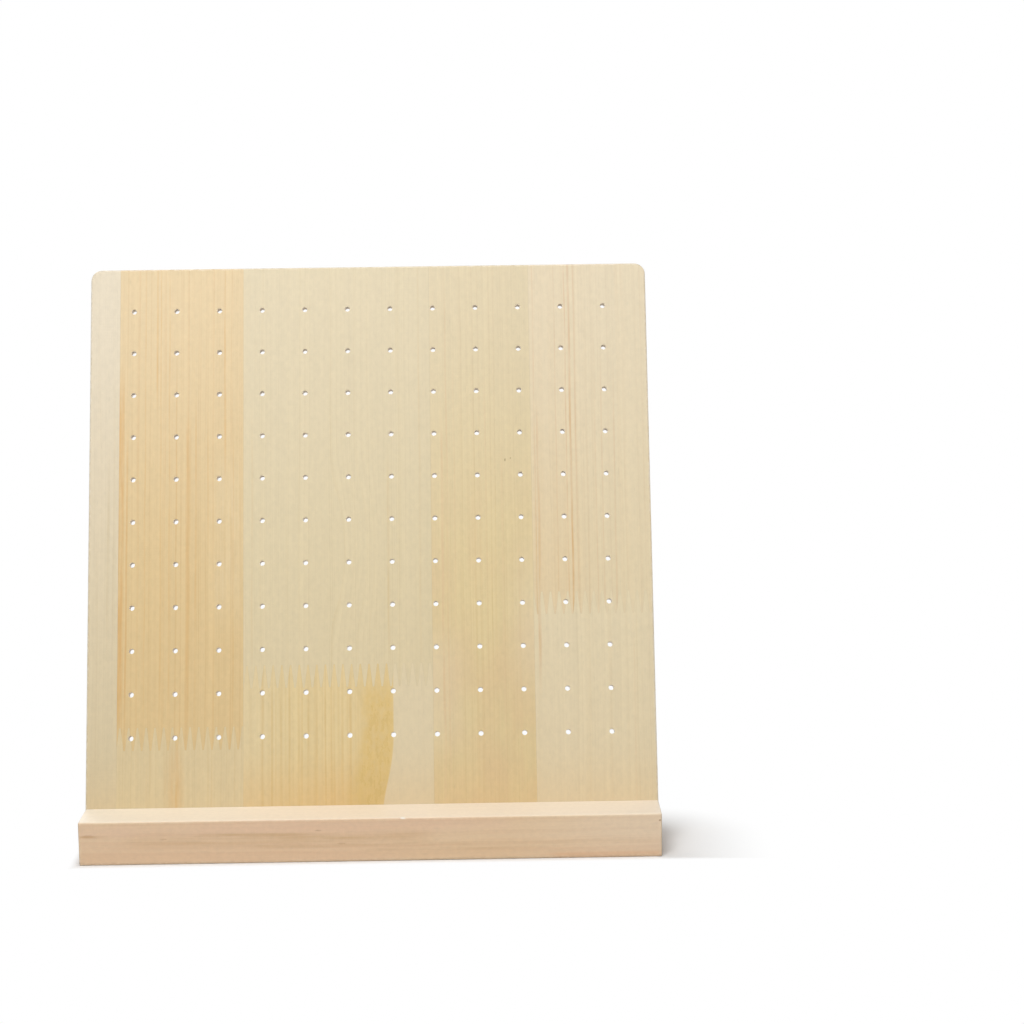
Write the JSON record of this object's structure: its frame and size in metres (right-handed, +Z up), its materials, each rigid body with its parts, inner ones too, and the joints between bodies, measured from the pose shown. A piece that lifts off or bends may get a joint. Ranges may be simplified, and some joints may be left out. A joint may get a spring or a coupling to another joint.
{
  "type": "earring display stand",
  "caption": "Perforated pine board, edge-glued from staves with finger joints, leaning back in the slot of a pine base bar; holes take earring posts.",
  "frame": {"origin": "centre of the base bar's underside, on the surface it stands on", "axes": "+Z up, -Y towards the viewer, +X to the viewer's right along the bar; the board leans back towards +Y"},
  "size_m": [0.3, 0.1191, 0.2985],
  "materials": {
    "stave_1": "pale sapwood, planed and sanded, unfinished",
    "stave_2_upper": "orange heartwood, planed and sanded, unfinished",
    "stave_2_lower": "pale pine with one brown streak, unfinished",
    "stave_3_upper": "pale sapwood, planed and sanded, unfinished",
    "stave_3_lower": "straw-coloured pine with a resin-dark patch, unfinished",
    "stave_4": "straw-coloured pine, planed and sanded, unfinished",
    "stave_5_upper": "pale pine with thin orange growth lines, unfinished",
    "stave_5_lower": "pale sapwood, planed and sanded, unfinished",
    "base_bar": "pale pinkish pine with its grain along the bar, sanded, unfinished"
  },
  "bodies": {
    "root": {"stave_1": "stave_1", "stave_2_upper": "stave_2_upper", "stave_2_lower": "stave_2_lower", "stave_3_upper": "stave_3_upper", "stave_3_lower": "stave_3_lower", "stave_4": "stave_4", "stave_5_upper": "stave_5_upper", "stave_5_lower": "stave_5_lower", "base_bar": "base_bar"}
  },
  "joints": []
}
